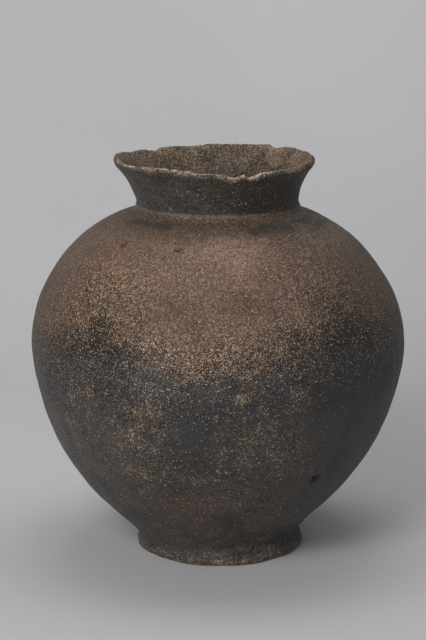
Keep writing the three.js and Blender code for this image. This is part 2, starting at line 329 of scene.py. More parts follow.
def lumps(points, size, seed):
    """Soft noise from -1 to 1 at each point, with lumps of about this size in metres."""
    shift = Vector((seed * 7.31, seed * 3.17, seed * 5.71))
    return np.array([noise.noise(Vector(p) / size + shift) for p in points])


def keep_values(piece, name, values):
    """Keeps one number for each point of the piece, for its finish to read."""
    layer = piece.data.attributes.new(name, "FLOAT", "POINT")
    layer.data.foreach_set("value", values)


def dent(piece, name, size, depth):
    """Displaces the surface by a cloud texture, mostly inwards, as a paddle and fingers do."""
    cloud = bpy.data.textures.new(name, "CLOUDS")
    cloud.noise_scale = size
    cloud.noise_depth = 2
    only(piece)
    displace = piece.modifiers.new(name, "DISPLACE")
    displace.texture = cloud
    displace.texture_coords = "LOCAL"
    displace.strength = depth
    displace.mid_level = DENT_LEVEL
    bpy.ops.object.modifier_apply(modifier=name)


# %% [markdown]
# ## Body wall
# The body is one wall from the base to the neck. Its outer line swells through the stations; its inner
# line runs one wall thickness inside, with the finger-pressed rolls left as low swellings over the belly
# joint and in the corner of the base.

# %% Turn the body
BODY_STEPS = 420
OUTER_SPACING = 2.4 * MM
INNER_SPACING = 6 * MM
ROLL_THICKNESS = 2.4 * MM
BELLY_ROLL_HALF = 9 * MM
INNER_START = 12 * MM
BASE_SECTION = ((0, -1.5), (24, -1), (46, 0), (50, 0), (54, 0), (58, 0))
CORNER_SECTION = ((-6, 6), (-14, 2), (-24, 0))
FLOOR_SECTION = ((20, -1), (0, -1.5))
MOUTH_EDGE = 62 * MM
MOUTH_DEPTH = 4 * MM


def body_outline():
    """The closed half section of the body, from under the base round to the floor inside."""
    stations = [(CREASE_RADIUS, FOOT_TOP)]
    for out, up in LOWER_SWELL:
        stations.append((mix(CREASE_RADIUS, BELLY_RADIUS, out), mix(FOOT_TOP, BELLY_HEIGHT, up)))
    stations.append((BELLY_RADIUS, BELLY_HEIGHT))
    for inward, up in SHOULDER_SWELL:
        stations.append((mix(BELLY_RADIUS, NECK_RADIUS, inward), mix(BELLY_HEIGHT, NECK_JOINT, up)))
    stations.append((NECK_RADIUS, NECK_JOINT))
    outer = smooth_line(stations, OUTER_SPACING)
    inner = []
    coarse = smooth_line(stations, INNER_SPACING)
    for before, point, after in zip(coarse, coarse[1:], coarse[2:]):
        along = (after - before).normalized()
        roll = math.exp(-(((point.y - BELLY_HEIGHT) / BELLY_ROLL_HALF) ** 2)) * ROLL_THICKNESS
        inside = point + Vector((-along.y, along.x)) * (WALL + roll)
        if inside.y > SLAB_TOP + INNER_START and inside.x > BORE_RADIUS:
            inner.append(inside)
    under = [Vector((r * MM, FOOT_TOP + z * MM)) for r, z in BASE_SECTION]
    mouth = [Vector((MOUTH_EDGE, NECK_JOINT)), Vector((BORE_RADIUS, NECK_JOINT))]
    mouth.append(Vector((BORE_RADIUS, NECK_JOINT - MOUTH_DEPTH)))
    corner = inner[0]
    floor = [(corner.x + r * MM, SLAB_TOP + z * MM) for r, z in CORNER_SECTION]
    floor += [(r * MM, SLAB_TOP + z * MM) for r, z in FLOOR_SECTION]
    floor = smooth_line([corner] + floor, INNER_SPACING)[1:]
    return under + outer + mouth + inner[::-1] + floor


body = spun("jar_body", body_outline(), BODY_STEPS, closed=False)
body_points = points_of(body)
out_of_round(body_points)
body_points[:, 0] += wander_at(body_points[:, 2])
set_points(body, body_points)
dent(body, "paddle_flats", 0.045, 1.5 * MM)
dent(body, "finger_marks", 0.012, 0.5 * MM)

# %% Pits and gouges
PITS = (((75, -99, 82), 4.6, 3), ((-30, -96, 262), 3, 1.6), ((-72, -71, 261), 4, 1.2),
        ((-110, -48, 243), 4, 1), ((-14, -112, 252), 3, 0.9), ((100, -112, 178), 6, 0.8))
PIT_BOTTOM = 0.2


def press_pits(piece, pits):
    """Presses small pits into the surface, each (place, radius, depth) in millimetres."""
    points = points_of(piece)
    normals = np.array([vertex.normal for vertex in piece.data.vertices])
    for place, radius, depth in pits:
        away = np.linalg.norm(points - np.array(place) * MM, axis=1) / (radius * MM)
        points -= normals * (depth * MM * (1 - ease(away, PIT_BOTTOM, 1)))[:, None]
    set_points(piece, points)


press_pits(body, PITS)
print("ridge_highlight_breaks", len(PITS), "pits")

# %% [markdown]
# ## Collar and lip
# The neck stands on the shoulder and flares. At its foot the luting clay was smeared into a low fillet.
# The lip is where hand and wear show most: it rises and dips, its outer edge is rubbed to a slope, and
# pieces have broken out of it. The line is turned first, then each point near the lip is lifted by the
# rises, taken back along the flare by the chips, and roughened. Three numbers are kept for each point, for
# the finish to read: how far it was broken back, how near it lies to the sharp inner crest, and how far up
# the rim it is.

# %% Turn the collar
COLLAR_STEPS = 560
COLLAR_SPACING = 1.5 * MM
LIP_SPACING = 0.8 * MM
FLARE_LEAN = 2.4 * MM
FLARE_RISE = 22.6 * MM
LIP_SLANT = 3.8 * MM

# Sections are pairs in millimetres: out from a radius, and up from a level.
RIDGE_SECTION = ((9.5, -3.6), (7.4, -2.3), (5.4, -1.3), (3.7, -0.2), (2.4, 1.2), (1.9, 2.6), (1.7, 3.8),
                 (1.2, 4.9), (0.95, 6), (1.15, 7.6))
LIP_SECTION = ((0.14, 0.35), (0.35, 0.75), (0.6, 0.9), (0.85, 0.8), (0.99, 0.2))
COLLAR_FOOT = ((-0.8, 2), (-0.4, -6))
COLLAR_UNDER = ((62, -7), (70, -6))


def flare(share):
    """A point on the collar's outer face and its direction, from its foot at 0 to the lip at 1."""
    low = Vector((NECK_RADIUS, NECK_JOINT))
    pull = Vector((NECK_RADIUS + FLARE_LEAN, NECK_JOINT + FLARE_RISE))
    tip = Vector((LIP_RADIUS, LIP_HEIGHT - LIP_SLANT))
    point = low.lerp(pull, share).lerp(pull.lerp(tip, share), share)
    return point, (pull.lerp(tip, share) - low.lerp(pull, share)).normalized()


def bore_point(share):
    """The point of the bore that lies one wall thickness inside the outer face."""
    point, along = flare(share)
    return point + Vector((-along.y, along.x)) * mix(WALL, LIP_WALL, share)


def collar_outline():
    """The closed section of the collar, with the low ridge of luting clay at its foot."""
    outer = [Vector((NECK_RADIUS + r * MM, NECK_JOINT + z * MM)) for r, z in RIDGE_SECTION]
    outer += [flare(share)[0] for share in (0.3, 0.42, 0.55, 0.7, 0.85, 0.97)]
    edge, along = flare(1)
    across = Vector((-along.y, along.x)) * LIP_WALL
    lip = [outer[-1]]
    for inward, up in LIP_SECTION:
        lip.append(edge + across * inward + along * up * MM)
    inner = [bore_point(share) for share in (0.97, 0.8, 0.6, 0.4, 0.2)]
    inner += [Vector((BORE_RADIUS + r * MM, NECK_JOINT + z * MM)) for r, z in COLLAR_FOOT]
    line = smooth_line(outer, COLLAR_SPACING)
    line += smooth_line(lip, LIP_SPACING)[1:] + smooth_line(inner, COLLAR_SPACING)
    return line + [Vector((r * MM, NECK_JOINT + z * MM)) for r, z in COLLAR_UNDER]


collar = spun("jar_collar", collar_outline(), COLLAR_STEPS, closed=True)

# %% Break and wear the lip
# Rises and chips: the angle from +X and the width in degrees, and the size in millimetres.
LIP_RISES = ((174, 54, 2.6), (238, 60, 1.6), (288, 90, -1.8), (50, 120, 2.2), (10, 40, 1.6),
             (34, 36, 0.7), (98, 40, 0.9))
LIP_CHIPS = ((48, 10, 2.4), (102, 16, 1.4), (131, 13, 2.1), (261, 12, 0.9), (280, 10, 2.6),
             (286, 24, 1.8), (292, 9, 2.6), (322, 18, 1), (350, 12, 1.6))
RISE_START = NECK_JOINT + 5.5 * MM
CHIPPED_HEIGHT = 15 * MM
RAGGED_DEPTH = 0.8 * MM
EDGE_HEIGHT = 7 * MM
EDGE_TOP = 1 * MM
BREAK_HEIGHT = 4.5 * MM
RIM_HEIGHT = 10 * MM
CREST_INWARD = 0.9
CREST_REACH = (0.8 * MM, 2.8 * MM)


def break_lip(piece):
    """Lifts, chips and roughens the lip, and keeps what its finish needs to know of each point."""
    points = points_of(piece)
    degrees = degrees_of(points)
    height = points[:, 2].copy()
    radius = np.hypot(points[:, 0], points[:, 1])
    flat = points * (1, 1, 0.3)
    ragged = lumps(flat, 7 * MM, 1) * 1.1
    ragged = ragged + lumps(flat, 2.6 * MM, 2) * 0.7 + lumps(flat, 1.3 * MM, 3) * 0.4
    chip_share = ease(height, LIP_HEIGHT - CHIPPED_HEIGHT, LIP_HEIGHT)
    chip = around(LIP_CHIPS, degrees + ragged * 1.2, True)
    edge_share = ease(height, LIP_HEIGHT - EDGE_HEIGHT, LIP_HEIGHT - EDGE_TOP)
    back = chip * chip_share + ragged * RAGGED_DEPTH * edge_share
    lip_edge, along = flare(1)
    rise = around(LIP_RISES, degrees, False) * ease(height, RISE_START, LIP_HEIGHT)
    push_out(points, -back * along.x)
    out_of_round(points)
    points[:, 0] += wander_at(height)
    points[:, 2] += rise - back * along.y
    set_points(piece, points)
    broken = ease(chip / MM + ragged * 0.6, 0.6, 2.2) * ease(height, LIP_HEIGHT - BREAK_HEIGHT, LIP_HEIGHT)
    keep_values(piece, "broken", broken)
    crest = lip_edge + Vector((-along.y, along.x)) * LIP_WALL * CREST_INWARD
    reach = np.hypot(radius - crest.x, height - crest.y)
    keep_values(piece, "crest", 1 - ease(reach, *CREST_REACH))
    keep_values(piece, "rim", np.clip((height - LIP_HEIGHT) / RIM_HEIGHT + 1, 0, 1))
    return points


lip_points = break_lip(collar)
dent(collar, "collar_flats", 0.03, 0.8 * MM)
dent(collar, "collar_grit", 0.0035, 0.5 * MM)
print("lip from", round(lip_points[:, 0].min() / MM, 1), "to", round(lip_points[:, 0].max() / MM, 1), "mm")

# %% [markdown]
# ## Ring foot
# The foot is a low ring that was added last. Clay was smeared up over its joint with the body, so it
# blends into the wall. Its lower edge is worn round by use, more on some sides. The resting face is put
# back level after the wear, so the jar stands flat.

# %% Turn the foot
FOOT_STEPS = 320
FOOT_WEAR = ((222, 52, 2.6), (312, 34, 2.2), (268, 24, 0.6), (95, 60, 1.4))
FOOT_SPACING = 1.6 * MM
FOOT_REST_RADIUS = 63.5 * MM
FOOT_OFF_CENTRE = 1.6 * MM
FOOT_SHOULDER = 8 * MM
FOOT_INWARD_WEAR = 0.45
BLEND_TOP = FOOT_TOP + 3 * MM
REST_LEVEL = 0.25 * MM
FOOT_SECTION = ((57, 0), (60, 0), (63.5, 0), (65.6, 0.5), (67, 1.6), (67.5, 3.6), (67.1, 6),
                (66.4, 8.4), (65.8, 10.8), (65.5, 12.6), (65.8, 14.2), (66.9, 16.2), (68.9, 18.6),
                (71.2, 21), (73.3, 23.2), (75.3, 25.8))
FOOT_BORE = ((68, 22), (60, 17), (52, 15), (52, 12.5), (53, 8), (54.4, 3), (55.4, 1))

foot_line = smooth_line([(r * MM, z * MM) for r, z in FOOT_SECTION], FOOT_SPACING)
foot_line += [Vector((r * MM, z * MM)) for r, z in FOOT_BORE]
foot = spun("jar_foot", foot_line, FOOT_STEPS, closed=True)


def wear_foot(piece):
    """Wears the foot's lower edge, and shifts the ring off centre under the body."""
    points = points_of(piece)
    radius = np.hypot(points[:, 0], points[:, 1])
    height = points[:, 2].copy()
    share = 1 - np.clip(height / FOOT_SHOULDER, 0, 1)
    ragged = lumps(points, 6 * MM, 5) * 0.35 * MM + lumps(points, 2.5 * MM, 6) * 0.2 * MM
    wear = around(FOOT_WEAR, degrees_of(points), False) + np.abs(ragged)
    outer = ease(radius, FOOT_REST_RADIUS - 0.2 * MM, FOOT_REST_RADIUS + 1.2 * MM)
    out_of_round(points)
    push_out(points, -wear * share * FOOT_INWARD_WEAR * outer)
    points[:, 2] += wear * share * outer
    blend = ease(height, FOOT_SHOULDER, BLEND_TOP)
    points[:, 0] += mix(FOOT_OFF_CENTRE, wander_at(height), blend)
    set_points(piece, points)


def level_rest(piece):
    """Puts whatever sank below the ground back on it."""
    points = points_of(piece)
    points[:, 2] = np.where(points[:, 2] < REST_LEVEL, 0, points[:, 2])
    set_points(piece, points)


wear_foot(foot)
dent(foot, "foot_flats", 0.02, 0.7 * MM)
dent(foot, "foot_grit", 0.003, 0.4 * MM)
level_rest(foot)
foot_heights = points_of(foot)[:, 2]
print("foot rests on", int((foot_heights == 0).sum()), "points, top at", round(foot_heights.max() / MM, 1))

# %% [markdown]
# ## Writing a finish
# A finish is a node tree, and sums of masks are easier to read as formulas than as wires. A Field wraps a
# number that changes over the clay; adding or multiplying fields makes the Math nodes. A Finish is one
# material: its node method makes any other node from its type, its settings and its sockets. Its patterns
# are moved apart one after another, so a new pattern goes after the others or it changes them.

# %% Fields


class Field:
    """A socket whose value changes over the surface, with the usual arithmetic."""

    def __init__(self, finish, socket):
        self.finish = finish
        self.socket = socket

    def math(self, operation, *values):
        """A Math node."""
        return self.finish.node("ShaderNodeMath", {"operation": operation}, dict(enumerate(values)))

    def __add__(self, other):
        return self.math("ADD", self, other)

    def __radd__(self, other):
        return self.math("ADD", other, self)

    def __sub__(self, other):
        return self.math("SUBTRACT", self, other)

    def __rsub__(self, other):
        return self.math("SUBTRACT", other, self)

    def __mul__(self, other):
        return self.math("MULTIPLY", self, other)

    def __rmul__(self, other):
        return self.math("MULTIPLY", other, self)

    def __rpow__(self, other):
        return self.math("POWER", other, self)

    def over(self, other):
        """The larger of the two values."""
        return self.math("MAXIMUM", self, other)

    def eased(self, low, high):
        """0 at low and 1 at high, eased between; low may be the larger."""
        ranges = {"Value": self, "From Min": low, "From Max": high}
        settings = {"interpolation_type": "SMOOTHSTEP"}
        return self.finish.node("ShaderNodeMapRange", settings, ranges)


# %% Finishes
PATTERN_STEP = (173.7, 91.3, 37.9)
SOFT = 0.7
CLAY_SPECULAR = 0.3
CLAY_SHEEN = 0.05
SHEEN_ROUGHNESS = 0.5


class Finish:
    """One material, built in code. Its places and sizes are in millimetres."""

    def __init__(self, name):
        self.material = bpy.data.materials.new(name)
        self.material.use_nodes = True
        self.tree = self.material.node_tree
        self.shader = self.tree.nodes["Principled BSDF"]
        self.seed = 0
        object_place = self.node("ShaderNodeTexCoord", {}, {}, "Object")
        self.place = self.vector("SCALE", object_place, scale=1 / MM)
        self.height = self.node("ShaderNodeSeparateXYZ", {}, {0: self.place}, "Z")
        self.across = self.node("ShaderNodeSeparateXYZ", {}, {0: self.place}, "X")
        self.ragged = self.clouds(13, 5, 0.65) - 0.5

    def node(self, kind, settings, sockets, output=0):
        """Any node: its settings go first, then its sockets' values or links."""
        node = self.tree.nodes.new(kind)
        for key, value in settings.items():
            setattr(node, key, value)
        for key, value in sockets.items():
            self.feed(node.inputs[key], value)
        return Field(self, node.outputs[output])

    def feed(self, socket, value):
        """Gives a socket a field or a constant."""
        if isinstance(value, Field):
            self.tree.links.new(value.socket, socket)
        else:
            socket.default_value = value

    def vector(self, operation, first, second=None, scale=None, output=0):
        """A Vector Math node."""
        sockets = {0: first}
        if second is not None:
            sockets[1] = second
        if scale is not None:
            sockets["Scale"] = scale
        return self.node("ShaderNodeVectorMath", {"operation": operation}, sockets, output)

    def kept(self, name):
        """The number that was kept for each point of the mesh under this name."""
        return self.node("ShaderNodeAttribute", {"attribute_name": name}, {}, "Fac")

    def shifted(self, stretch=(1, 1, 1)):
        """The place on the clay, stretched, and moved so that no two patterns agree."""
        self.seed += 1
        moved = self.vector("MULTIPLY", self.place, stretch)
        return self.vector("ADD", moved, tuple(self.seed * step for step in PATTERN_STEP))

    def clouds(self, size, detail=3, rough=0.55, stretch=(1, 1, 1)):
        """Soft noise round 0.5, with lumps of about this size."""
        sockets = {"Vector": self.shifted(stretch), "Scale": 1 / size, "Detail": detail, "Roughness": rough}
        return self.node("ShaderNodeTexNoise", {}, sockets, "Fac")

    def grains(self, size):
        """A random value from 0 to 1 for each grain of this size, and the distance from its middle."""
        sockets = {"Vector": self.shifted(), "Scale": 1 / size}
        cell = self.node("ShaderNodeTexVoronoi", {}, sockets, "Color")
        value = self.node("ShaderNodeSeparateColor", {}, {0: cell}, 0)
        return value, Field(self, cell.socket.node.outputs["Distance"])

    def specks(self, size, density):
        """Round grains of sand: density is the share of the cells of this size that hold one."""
        value, middle = self.grains(size)
        return (density - value).eased(-0.01, 0.01) * middle.eased(0.6, 0.35)

    def straws(self, size):
        """Fine short lines in all directions, like chopped straw of this length."""
        sockets = {"Vector": self.shifted(), "Scale": 1 / size}
        edge = self.node("ShaderNodeTexVoronoi", {"feature": "DISTANCE_TO_EDGE"}, sockets, "Distance")
        return edge.eased(0.12, 0.04) * self.clouds(size * 0.5, 2).eased(0.49, 0.56)

    def faded(self, reach, radius, soft):
        """1 well inside a radius and 0 outside it, with a ragged edge."""
        return (reach + self.ragged * (radius * 1.2)).eased(radius * (1 + soft * 0.4), radius * (1 - soft))

    def blot(self, spot, radius, soft):
        """1 in a ragged spot round a place, and 0 outside it.

        Soft is 0 for a sharp edge, and 1 for a spot that fades all the way from its middle."""
        return self.faded(self.vector("DISTANCE", self.place, spot, output="Value"), radius, soft)

    def stroke(self, start, end, width, soft=SOFT):
        """1 along a ragged stroke between two places, and 0 outside it."""
        along = Vector(end) - Vector(start)
        away = self.vector("SUBTRACT", self.place, start)
        share = self.vector("DOT_PRODUCT", away, tuple(along / along.length_squared), output="Value")
        share = self.node("ShaderNodeClamp", {}, {0: share})
        nearest = self.vector("SCALE", tuple(along), scale=share)
        return self.faded(self.vector("DISTANCE", away, nearest, output="Value"), width, soft)

    def most(self, *masks):
        """The largest of several masks."""
        total = masks[0]
        for mask in masks[1:]:
            total = total.over(mask)
        return total

    def patches(self, rows):
        """The largest of several blots, each (place, radius, softness, strength)."""
        return self.most(*[self.blot(*patch) * strength for *patch, strength in rows])

    def strokes(self, rows):
        """The largest of several strokes, each (start, end, width)."""
        return self.most(*[self.stroke(start, end, width) for start, end, width in rows])

    def mixed(self, first, second, share):
        """One colour laid over another, by a share from 0 to 1."""
        node = self.tree.nodes.new("ShaderNodeMix")
        node.data_type = "RGBA"
        self.feed(node.inputs[0], share)
        self.feed(node.inputs[6], first)
        self.feed(node.inputs[7], second)
        return Field(self, node.outputs[2])

    def clay(self, colour, roughness, relief, depth):
        """Feeds the shader: colour, roughness, and the relief as a bump of this depth in millimetres."""
        self.feed(self.shader.inputs["Base Color"], colour)
        self.feed(self.shader.inputs["Roughness"], roughness)
        sockets = {"Strength": 1.0, "Distance": depth * MM, "Height": relief}
        self.feed(self.shader.inputs["Normal"], self.node("ShaderNodeBump", {}, sockets, "Normal"))
        self.shader.inputs["Specular IOR Level"].default_value = CLAY_SPECULAR
        self.shader.inputs["Sheen Weight"].default_value = CLAY_SHEEN
        self.shader.inputs["Sheen Roughness"].default_value = SHEEN_ROUGHNESS
        return self.material


def srgb(red, green, blue):
    """A display colour from 0 to 255 as the linear colour that a shader takes."""
    linear = []
    for value in (red, green, blue):
        share = value / 255
        linear.append(share / 12.92 if share <= 0.04045 else ((share + 0.055) / 1.055) ** 2.4)
    return (*linear, 1)


def dressed(piece, material):
    """Gives a piece its material and says how many nodes it took."""
    piece.data.materials.append(material)
    print(material.name, "has", len(material.node_tree.nodes), "nodes")


# %% [markdown]
# ## Fired clay
# The pot was fired in the open. Where the flame reached, its thin skin burned warm brown; where it lay in
# the smoke it stayed blue-black. The clay is full of sand, and every grain of about a millimetre took the
# smoke a little differently, so brown and black meet as a fine speckle: the skin is brown wherever the grit
# is lighter than a level, and the level falls where more of the skin is brown. Elsewhere the two shade into
# each other, and the tooth says how much of each there is. The wall and the foot share the ground colours
# below the skin, so nothing shows where one passes into the other.

# %% Grit and ground
SMOKE = srgb(54, 53, 51)
SOOT = srgb(43, 42, 42)
EMBER = srgb(68, 61, 55)
BURNT = srgb(27, 24, 22)
TAN = srgb(150, 124, 94)
PALE = srgb(206, 192, 168)
GRAIN = 0.95
SAND_GRAIN = 0.85
PALE_GRAIN = 0.9
GRIT_SPREAD = 0.3
GRIT_EDGE = 0.02
TONE_REACH = 5


def sandy_relief(finish, pitted):
    """Sandy bumps, pits where sand has fallen out, and the marks of wiping round the jar."""
    grit = finish.clouds(1.7, 3, 0.65)
    value, middle = finish.grains(2)
    pits = middle.eased(0.5, 0.1) * value.eased(0.6, 0.8)
    wiping = finish.clouds(6, 3, 0.6, (0.3, 0.3, 2.4))
    return grit * 0.8 + wiping * 0.35 - pits * pitted


def toned(finish, colour, spread):
    """Gives each grain its own tone: spread is 0 for even clay, and 1 for a strong speckle, whose lightest
    and darkest grains lie about TONE_REACH times above and below the clay's own tone."""
    value = finish.grains(GRAIN)[0]
    tone = value - 0.5 + (finish.clouds(1, 2, 0.7) - 0.5) * 2
    return finish.vector("SCALE", colour, scale=TONE_REACH ** (tone * spread))


def gritty(finish, cover, tooth=0.9):
    """The share of light skin at each point, where cover is its share of the whole area.

    Tooth is 0 for an even blend, and 1 where every grain is either light or dark."""
    grit = finish.clouds(GRAIN, 2, 0.6) * 0.9 + finish.clouds(4.5, 3, 0.6) * 0.1
    level = (cover - 0.5) * -GRIT_SPREAD + 0.5
    grain = (grit - level).eased(-GRIT_EDGE, GRIT_EDGE)
    return cover + (grain - cover) * tooth


def smoked_ground(finish):
    """Smoke-black clay in soft clouds, warmer towards the foot and on the left."""
    clouds = finish.clouds(36, 4)
    colour = finish.mixed(SMOKE, SOOT, clouds.eased(0.4, 0.66))
    left = finish.across.eased(-20, -125) * finish.height.eased(20, 70)
    low = finish.height.eased(100, 25)
    warm = finish.clouds(24, 4).eased(0.34, 0.62) * (0.25 + left.over(low) * 0.75)
    return finish.mixed(colour, EMBER, warm)


# %% [markdown]
# ## Places on the body
# Each mark that the photograph shows has its place on the jar. A patch is a place in millimetres, a radius,
# the softness of its edge and a strength; a stroke is a start, an end and a width.

# %% Patches and strokes
LEFT_SPECKLE = (((-98, -102, 206), 54, 1, 1), ((-70, -124, 176), 40, 1, 0.8))
RIGHT_SPECKLE = (((92, -100, 222), 58, 1, 1), ((56, -128, 202), 34, 1, 0.8))
SOOTY_PLACES = (((104, -104, 186), 34, 1, 1), ((-90, -112, 204), 15, SOFT, 1),
                ((-78, -127, 184), 16, SOFT, 0.9), ((85, -95, 234), 12, 1, 0.4),
                ((102, -89, 220), 16, 1, 0.4))
TAN_PATCHES = (((-54, -138, 147), 14, SOFT, 0.9), ((-63, -129, 131), 9, SOFT, 0.6),
               ((17, -148, 158), 4, SOFT, 0.8), ((54, -132, 127), 4, SOFT, 1),
               ((-100, -110, 158), 18, 1, 0.2))
TAN_STREAKS = (((-117, -81, 126), (-108, -83, 106), 6),)
# Rosy patches under the neck: rosy tone and a painted highlight where the light falls on the shoulder.
ROSY_HIGHLIGHT_PATCHES = (((8, -92, 267), 42, 1, 1), ((-46, -104, 248), 30, 1, 0.25))
RED_PATCHES = (((-84, -72, 254), 20, 1, 1), ((-105, -85, 232), 16, 1, 0.6), ((-22, -108, 60), 26, 1, 1))
ORANGE_PATCHES = (((-122, -82, 190), 22, 1, 1),)
ASHEN_PATCHES = (((-50, -138, 176), 28, 1, 0.6),)
RUSSET_PATCHES = (((-24, -108, 60), 26, 1, 0.6),)
BLUISH_PATCHES = (((-22, -143, 132), 15, SOFT, 1), ((-8, -148, 158), 12, SOFT, 1),
                  ((38, -146, 166), 18, SOFT, 0.8))
WISPY_PLACES = (((-60, -126, 134), 30, 1, 1), ((-60, -112, 92), 34, 1, 0.65), ((22, -142, 128), 26, 1, 0.8),
                ((60, -134, 152), 12, 1, 0.8), ((-105, -102, 142), 28, 1, 0.7),
                ((45, -130, 112), 26, 1, 0.5), ((0, -118, 78), 30, 1, 0.45))
SANDY_SPOTS = (((17, -148, 158), 6, SOFT, 1),)
CALM_PLACES = (((6, -146, 164), 30, 1, 1),)
BAND_SMEARS = (((-62, -44, 275), (-40, -65, 274), 6), ((28, -75, 272), (58, -55, 272), 7))
GOUGE = ((73, -97.5, 80), (77, -95.5, 83), 4.2, 0.4)
GOUGE_HALO = (((80, -95, 86), 7, 1, 0.6),)
# Places of painted shade in the pits.
PIT_SHADE_PLACES = (((-30, -96, 262), 3.5, SOFT, 1), ((-72, -71, 261), 4, SOFT, 0.7))
SCRATCHES = (((-1, -132, 99), (3, -131, 94), 0.8), ((3, -131, 101), (7, -131, 96), 0.7),
             ((54, -139, 164), (60, -137, 156), 0.6), ((60, -137, 163), (56, -139, 156), 0.6))


class BodyMasks:
    """Where the flame, the smoke and the sand reached the body: masks from 0 to 1.

    Level is a ragged height in millimetres, which the flame and the belly's dark seam follow."""

    def __init__(self, finish):
        level = finish.height + (finish.clouds(80, 2) - 0.5) * 24 + finish.ragged * 22
        self.level = level - finish.across.eased(10, 100) * 9
        self.flame = self.level.eased(145, 226)
        self.turning = self.level.eased(132, 160) * self.level.eased(226, 190)
        self.left = finish.patches(LEFT_SPECKLE)
        self.right = finish.patches(RIGHT_SPECKLE)
        self.sooty = finish.patches(SOOTY_PLACES)
        self.speckled = finish.most(self.left, self.right * 0.9, self.turning)
        streaks = (finish.clouds(9, 4, 0.6, (0.35, 0.35, 2)) - 0.5) * 16
        self.band = (finish.height + finish.ragged * 10 + streaks).eased(262, 271)
        self.tan = finish.patches(TAN_PATCHES).over(finish.strokes(TAN_STREAKS))
        self.bluish = finish.patches(BLUISH_PATCHES)
        self.wisps = finish.patches(WISPY_PLACES)
        self.gouge = finish.stroke(*GOUGE)
        smooth_side = finish.across.eased(50, 100) * self.level.eased(180, 140)
        smooth_middle = finish.patches(CALM_PLACES) * self.level.eased(182, 164)
        self.calm = finish.most(self.bluish, smooth_middle, smooth_side)


# %% [markdown]
# ## Body clay
# The brown skin covers the upper half and thins out into speckle on the left and right of the shoulder and
# along the belly. It is rosy under the neck, with a painted highlight there, and dull olive in the dark band
# round the neck's foot; towards both sides it is darkened by painted shade. Below it the smoked clay is
# blue-grey where it is smooth, with wisps of sandy grains.

# %% Skin and ground of the body
BROWN = srgb(103, 84, 70)
ROSY_LIT_SKIN = srgb(128, 104, 90)
UMBER = srgb(90, 73, 60)
RED = srgb(108, 76, 62)
SANDY = srgb(126, 104, 86)
OLIVE = srgb(98, 81, 66)
GREY = srgb(52, 52, 54)
ORANGE = srgb(128, 92, 62)
# Painted shade for the left and right sides of the jar, where the light falls off.
SIDE_SHADE = srgb(76, 61, 50)
ASHEN = srgb(68, 65, 65)
LOESS = srgb(78, 68, 57)
RUSSET = srgb(80, 57, 48)


def brown_share(finish, masks):
    """How far the brown skin covers the smoked clay at each point."""
    cover = 0.02 + masks.flame * 0.94 - masks.left * 0.5 - masks.right * 0.3
    cover = cover - masks.sooty * 0.24 - masks.band * 0.24
    cover = cover + (finish.clouds(30, 4) - 0.5) * 0.3 * (0.3 + masks.flame)
    cover = cover + (finish.clouds(9, 3) - 0.5) * 0.5 * masks.speckled
    cover = cover + masks.tan * 0.4
    return gritty(finish, cover, (0.2 + masks.speckled * 0.8).over(masks.sooty))


def brown_skin(finish, masks):
    """The colour of the fired skin, with a painted highlight in its rosy patches and painted shade towards
    both sides.
    """
    brown = finish.mixed(BROWN, UMBER, finish.clouds(40, 3).eased(0.42, 0.66))
    # Rosy tone and a painted highlight on the shoulder under the neck.
    brown = finish.mixed(brown, ROSY_LIT_SKIN, finish.patches(ROSY_HIGHLIGHT_PATCHES))
    brown = finish.mixed(brown, RED, finish.patches(RED_PATCHES) * 0.8)
    brown = finish.mixed(brown, SANDY, (masks.left * 0.4).over(masks.turning * 0.6))
    # Painted shade: the skin darkens towards the left and right, where the light falls off round the jar.
    sides = finish.across.eased(-76, -132).over(finish.across.eased(52, 122))
    brown = finish.mixed(brown, SIDE_SHADE, sides * 0.7)
    brown = finish.mixed(brown, OLIVE, masks.band * 0.8)
    orange = finish.most(finish.patches(ORANGE_PATCHES), masks.tan, masks.left * 0.5)
    return finish.mixed(brown, ORANGE, orange * 0.4)


def dark_clay(finish, ground, masks, clusters):
    """The smoked clay: sooty along the belly, burnt black between brown grains, sandy in the clusters."""
    dark = finish.mixed(ground, SOOT, masks.level.eased(122, 152) * 0.7)
    dark = finish.mixed(dark, BURNT, masks.flame.eased(0.25, 0.6) * 0.8)
    dark = finish.mixed(dark, ASHEN, finish.patches(ASHEN_PATCHES))
    dark = finish.mixed(dark, RUSSET, finish.patches(RUSSET_PATCHES))
    dark = finish.mixed(dark, GREY, masks.bluish * 0.8)
    return finish.mixed(dark, LOESS, clusters * 0.45)


# %% Stains, painted shade in the pits, and sand on the body
GOUGE_EARTH = srgb(76, 65, 48)
# Dark painted shade for the hollows of the pits and the gouge.
PIT_SHADE = srgb(22, 20, 17)
SAND_DULL = srgb(120, 106, 88)
SAND_BRIGHT = srgb(182, 152, 114)
BURNT_GRAIN = 1.5
STRAW = 3.6


def smeared_and_pit_shaded(finish, colour, masks):
    """Adds the smoky smears in the band below the neck, and painted shade in the pits and the gouge."""
    smoke = masks.band * (finish.clouds(14, 4, 0.6, (0.4, 0.4, 1.6)).eased(0.48, 0.6))
    smears = finish.strokes(BAND_SMEARS)
    colour = finish.mixed(colour, SOOT, (smoke * 0.6).over(smears * 0.7))
    colour = finish.mixed(colour, GOUGE_EARTH, finish.patches(GOUGE_HALO))
    # Painted shade: the pits and the gouge are darkened where shade falls in the hollows.
    pit_shade_share = finish.patches(PIT_SHADE_PLACES).over(masks.gouge)
    return finish.mixed(colour, PIT_SHADE, pit_shade_share * 0.9)


